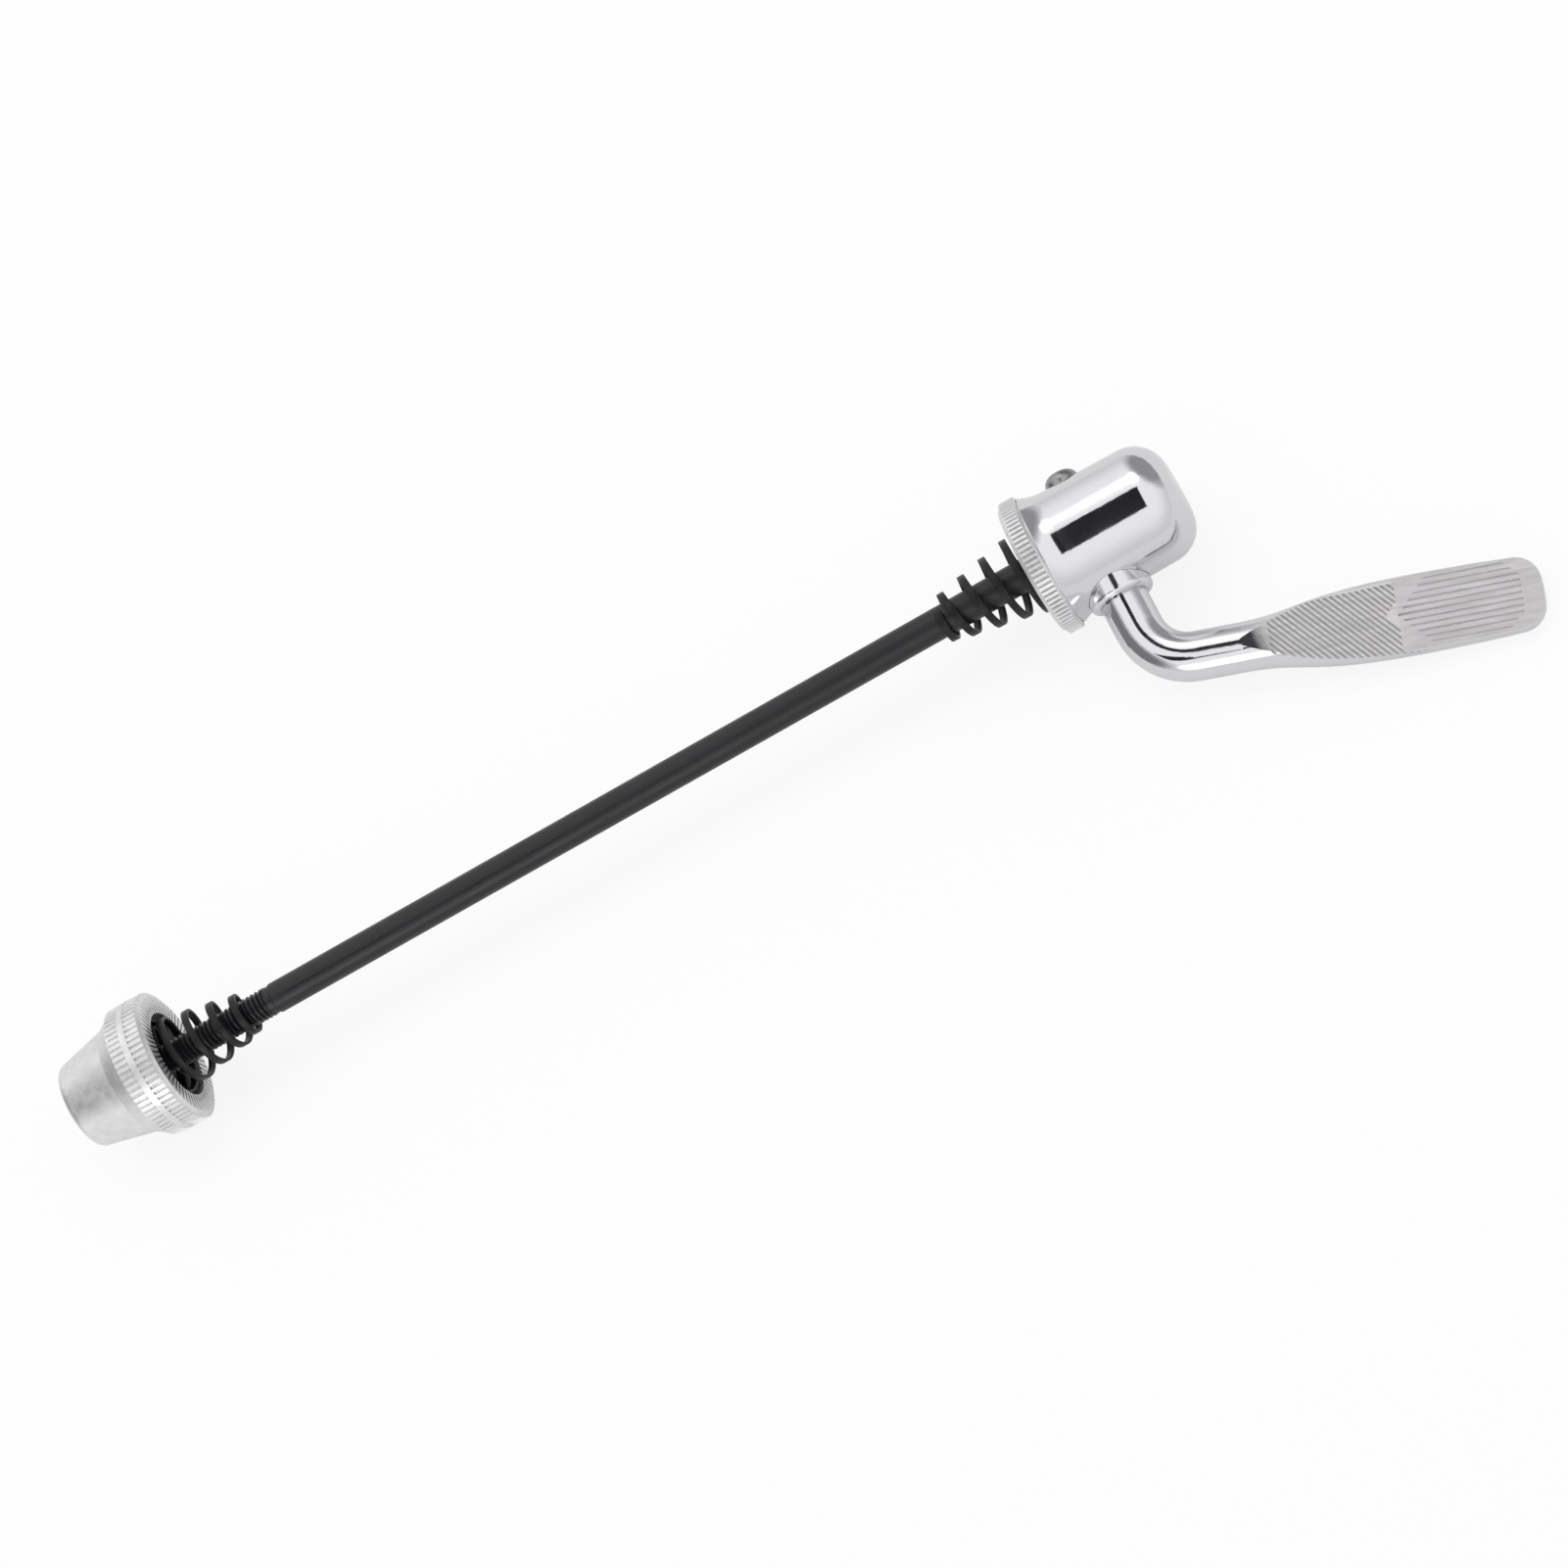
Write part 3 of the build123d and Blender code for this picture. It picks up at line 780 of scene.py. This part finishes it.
class SKEWER_OT_nut(bpy.types.Operator):
    """Finish the cone nut in tumbled steel"""

    bl_idname = "skewer.nut"
    bl_label = "Cone Nut"

    def execute(self, context):
        metal = context.scene.skewer_metal
        material, shader = new_finish("tumbled_steel", metal.steel, metallic=1.0)
        add_patches(material, shader, metal.steel, size=0.0016, dark=0.89)
        add_gloss(material, shader, size=0.001, low=0.34, high=0.5)
        add_grain(material, shader, size=0.0007, depth=0.000025, detail=5.0)
        # Painted shade in the knurl's grooves
        add_painted_shade(material, shader, reach=0.0005, strength=0.3)

        # Deeper painted shade in the serrations behind the clamping face
        painted_shade = add_painted_shade(material, shader, reach=0.0012, darkest=0.55)
        foot = metal.nut_face + SERRATION_FOOT
        top = metal.nut_face + SERRATION_TOP
        serrations = add_zone(material, "Object", ALONG_ROD, foot, top)
        link(material, serrations, "Result", painted_shade, MIX_FACTOR)
        dress(frame["nodes"]["cone_nut"], material)
        return {"FINISHED"}


class SKEWER_OT_small_pieces(bpy.types.Operator):
    """Finish the retaining screw and the nut's insert"""

    bl_idname = "skewer.small_pieces"
    bl_label = "Screw and Insert"

    def execute(self, context):
        metal = context.scene.skewer_metal
        material, shader = new_finish("zinc_plating", metal.zinc, metallic=1.0)
        add_patches(material, shader, metal.zinc, size=0.0015, dark=0.7)
        add_gloss(material, shader, size=0.001, low=0.2, high=0.34)
        # Painted shade in the screw's slot and corners
        add_painted_shade(material, shader, reach=0.0008, darkest=0.2, strength=0.9)
        dress(frame["nodes"]["retaining_screw"], material)

        material, shader = new_finish("moulded_black", metal.insert, metallic=0.0)
        shader.inputs["Specular IOR Level"].default_value = 0.3
        add_patches(material, shader, metal.insert, size=0.002, dark=0.7)
        add_gloss(material, shader, size=0.002, low=0.4, high=0.55)
        dress(frame["nodes"]["nut_insert"], material)
        return {"FINISHED"}


# Stage


def aim(place, target, up):
    """The rotation that looks from a place to a target with a given up direction."""
    back = (Vector(place) - Vector(target)).normalized()
    right = Vector(up).cross(back).normalized()
    top = back.cross(right)
    return Matrix((right, top, back)).transposed().to_euler()


def add_rays(owner):
    """The light path, and what is one where a mirror or glass looks."""
    nodes = owner.node_tree.nodes
    path = nodes.new("ShaderNodeLightPath")
    mirrors = nodes.new("ShaderNodeMath")
    mirrors.operation = "MAXIMUM"
    link(owner, path, "Is Glossy Ray", mirrors, 0)
    link(owner, path, "Is Transmission Ray", mirrors, 1)
    return path, mirrors


def mix_shaders(material, factor, output, first, second):
    """One shader where a factor is nought and another where it is one."""
    mix = material.node_tree.nodes.new("ShaderNodeMixShader")
    link(material, factor, output, mix, 0)
    link(material, first, 0, mix, 1)
    link(material, second, 0, mix, 2)
    return mix


def matt_finish(name, colour):
    """A finish without any gloss."""
    material, shader = new_finish(name, colour, metallic=0.0)
    shader.inputs["Roughness"].default_value = 1.0
    shader.inputs["Specular IOR Level"].default_value = 0.0
    return material, shader


def soften_edges(material, shader):
    """Let a card of unit size fade out towards its edge."""
    nodes = material.node_tree.nodes
    place = nodes.new("ShaderNodeTexCoord")
    spread = nodes.new("ShaderNodeVectorMath")
    spread.operation = "SCALE"
    spread.inputs["Scale"].default_value = 2.0
    link(material, place, "Object", spread, 0)
    middle = nodes.new("ShaderNodeTexGradient")
    middle.gradient_type = "SPHERICAL"
    link(material, spread, "Vector", middle, "Vector")
    fade = nodes.new("ShaderNodeMapRange")
    fade.interpolation_type = "SMOOTHSTEP"
    fade.inputs["From Max"].default_value = 0.6
    link(material, middle, "Fac", fade, "Value")
    clear = nodes.new("ShaderNodeBsdfTransparent")
    mix = mix_shaders(material, fade, "Result", clear, shader)
    link(material, mix, 0, nodes["Material Output"], "Surface")


def soft_finish(name, colour):
    """A matt finish that fades out towards a card's edge."""
    material, shader = matt_finish(name, colour)
    soften_edges(material, shader)
    return material


def glowing_finish(name, strength):
    """A white finish that shines and fades out towards a card's edge."""
    material, shader = matt_finish(name, (0, 0, 0))
    shader.inputs["Emission Color"].default_value = WHITE
    shader.inputs["Emission Strength"].default_value = strength
    soften_edges(material, shader)
    return material


def add_card(name, material, place, size, turn):
    """A card that only mirrors see."""
    deselect_all()
    bpy.ops.mesh.primitive_plane_add(size=1.0, location=place, rotation=turn)
    card = bpy.context.object
    card.name = name
    card.scale = (*size, 1)
    card.visible_camera = False
    card.visible_diffuse = False
    card.visible_shadow = False
    dress(card, material)


def add_level_card(name, material, height, low, high):
    """A card that lies level between two corners."""
    place = ((low[0] + high[0]) / 2, (low[1] + high[1]) / 2, height)
    size = (high[0] - low[0], high[1] - low[1])
    add_card(name, material, place, size, (0, 0, 0))


def add_upright_card(name, material, place, size, target=(0, 0, 0)):
    """A card that faces a target from the side."""
    add_card(name, material, place, size, aim(place, target, up=(0, 0, 1)))


def floor_finish(stage):
    """Pale and matt to light and mirrors; to the camera clear, with only the shadows on it."""
    material, shader = matt_finish("pale_floor", stage.floor_colour)
    nodes = material.node_tree.nodes
    path, mirrors = add_rays(material)
    mirrored = nodes.new("ShaderNodeMath")
    mirrored.operation = "MULTIPLY"
    mirrored.inputs[1].default_value = stage.floor_mirrored
    link(material, mirrors, 0, mirrored, 0)
    shader.inputs["Emission Color"].default_value = WHITE
    link(material, mirrored, 0, shader, "Emission Strength")

    shade = nodes.new("ShaderNodeBsdfDiffuse")
    shade.inputs["Color"].default_value = (*[stage.floor_shade] * 3, 1.0)
    clear = nodes.new("ShaderNodeBsdfTransparent")
    clear.inputs["Color"].default_value = (*[stage.floor_clear] * 3, 1.0)
    above = nodes.new("ShaderNodeAddShader")
    link(material, shade, 0, above, 0)
    link(material, clear, 0, above, 1)
    below = nodes.new("ShaderNodeBsdfTransparent")
    side = nodes.new("ShaderNodeNewGeometry")
    for_camera = mix_shaders(material, side, "Backfacing", above, below)
    mix = mix_shaders(material, path, "Is Camera Ray", shader, for_camera)
    link(material, mix, 0, nodes["Material Output"], "Surface")
    return material


def lay_floor(stage):
    """A wide floor at the skewer's lowest point."""
    middle = (cad_box[0] + cad_box[1]) / 2
    ground = cad_box[0].z
    deselect_all()
    bpy.ops.mesh.primitive_circle_add(
        vertices=96, radius=FLOOR_RADIUS, fill_type="NGON", location=(middle.x, middle.y, ground)
    )
    floor = bpy.context.object
    floor.name = "floor"
    dress(floor, floor_finish(stage))


def hang_cards(stage):
    """Dark, grey and shining cards for the chrome, the nut and the rod to mirror."""
    height = stage.card_height
    dark = matt_finish("dark_card", stage.card_colour)[0]
    add_level_card("stripe_card", dark, height, low=(-0.056, -0.38), high=(0.12, 0.107))
    add_level_card("rod_card", dark, height, low=(-0.45, -0.42), high=(-0.16, -0.2))
    grey = soft_finish("grey_screen", stage.screen_colour)
    add_upright_card("end_screen", grey, place=(0.88, 0.88, 0.4), size=(2.6, 2.4))
    grey = soft_finish("nut_screen", stage.nut_screen_colour)
    add_upright_card(
        "nut_screen", grey, place=(-1.05, -0.1, 0.38), size=(2.0, 1.6), target=(-0.165, 0, 0)
    )
    glow = glowing_finish("housing_glow", stage.housing_glow)
    add_level_card("housing_glow", glow, height, low=(-0.14, 0.1), high=(0.4, 0.62))
    glow = glowing_finish("rod_glow", stage.rod_glow)
    add_upright_card("rod_glow", glow, place=(-0.57, -1.2, 0.38), size=(1.0, 0.9))


def light_room(scene, stage):
    """A room that is white to the camera and dims towards the horizon in a mirror."""
    world = bpy.data.worlds.new("white_room")
    scene.world = world
    world.use_nodes = True
    nodes = world.node_tree.nodes
    background = nodes["Background"]
    background.inputs["Color"].default_value = WHITE
    path, mirrors = add_rays(world)
    direction = nodes.new("ShaderNodeTexCoord")
    parts = nodes.new("ShaderNodeSeparateXYZ")
    link(world, direction, "Generated", parts, 0)
    rise = nodes.new("ShaderNodeMapRange")
    rise.interpolation_type = "SMOOTHSTEP"
    rise.inputs["From Max"].default_value = 0.7
    rise.inputs["To Min"].default_value = stage.horizon
    link(world, parts, "Z", rise, "Value")
    level = nodes.new("ShaderNodeMapRange")
    level.inputs["To Min"].default_value = stage.room_light
    link(world, mirrors, 0, level, "Value")
    link(world, rise, "Result", level, "To Max")
    seen = nodes.new("ShaderNodeMath")
    seen.operation = "MAXIMUM"
    link(world, level, "Result", seen, 0)
    link(world, path, "Is Camera Ray", seen, 1)
    link(world, seen, 0, background, "Strength")


def add_key_box(stage):
    """A soft box behind the rod, its long side along it, that no mirror sees."""
    place = (-0.05, 0.31, 0.8)
    bpy.ops.object.light_add(type="AREA", location=place)
    lamp = bpy.context.object
    lamp.name = "key_box"
    lamp.rotation_euler = aim(place, (0, 0, 0), up=(0, 1, 0.1))
    lamp.data.shape = "RECTANGLE"
    lamp.data.size = 1.0
    lamp.data.size_y = 0.38
    lamp.data.energy = stage.key_power
    lamp.visible_glossy = False


def place_camera(scene, stage):
    """The camera at the photograph's viewing angle."""
    turn = aim(stage.camera_place, stage.camera_target, stage.camera_up)
    bpy.ops.object.camera_add(location=stage.camera_place, rotation=turn)
    camera = bpy.context.object
    camera.name = "portrait_camera"
    camera.data.sensor_width = 36.0
    camera.data.lens = stage.lens
    camera.data.clip_start = 0.01
    camera.data.clip_end = 100.0
    scene.camera = camera
    scene.view_settings.view_transform = "Standard"


class SKEWER_OT_stage(bpy.types.Operator):
    """Set the pale floor, the cards, the room, the soft box and the camera"""

    bl_idname = "skewer.stage"
    bl_label = "Stage"

    def execute(self, context):
        stage = context.scene.skewer_stage
        lay_floor(stage)
        hang_cards(stage)
        light_room(context.scene, stage)
        add_key_box(stage)
        place_camera(context.scene, stage)
        return {"FINISHED"}


class SKEWER_PT_panel(bpy.types.Panel):
    """Lists the skewer's pieces and its stage in the sidebar"""

    bl_idname = "SKEWER_PT_panel"
    bl_label = "Quick Release Skewer"
    bl_space_type = "VIEW_3D"
    bl_region_type = "UI"
    bl_category = "Skewer"

    def draw(self, context):
        column = self.layout.column()
        for operator in OPERATORS:
            column.operator(operator.bl_idname)
        for settings in SETTINGS:
            group = getattr(context.scene, settings)
            for setting in group.__annotations__:
                column.prop(group, setting)


OPERATORS = (
    SKEWER_OT_rod,
    SKEWER_OT_springs,
    SKEWER_OT_housing,
    SKEWER_OT_lever,
    SKEWER_OT_nut,
    SKEWER_OT_small_pieces,
    SKEWER_OT_stage,
)
SETTINGS = {
    "skewer_rod": RodSettings,
    "skewer_spring": SpringSettings,
    "skewer_metal": MetalSettings,
    "skewer_stage": StageSettings,
}


def register():
    """Add the settings, the operators and the panel to Blender."""
    for name, settings in SETTINGS.items():
        bpy.utils.register_class(settings)
        setattr(bpy.types.Scene, name, PointerProperty(type=settings))
    for operator in OPERATORS:
        bpy.utils.register_class(operator)
    bpy.utils.register_class(SKEWER_PT_panel)


def unregister():
    """Take them out again."""
    bpy.utils.unregister_class(SKEWER_PT_panel)
    for operator in reversed(OPERATORS):
        bpy.utils.unregister_class(operator)
    for name, settings in SETTINGS.items():
        delattr(bpy.types.Scene, name)
        bpy.utils.unregister_class(settings)


def main():
    """Build every piece and the stage."""
    register()
    bpy.ops.skewer.rod()
    bpy.ops.skewer.springs()
    bpy.ops.skewer.housing()
    bpy.ops.skewer.lever()
    bpy.ops.skewer.nut()
    bpy.ops.skewer.small_pieces()
    bpy.ops.skewer.stage()


if __name__ == "__main__":
    main()
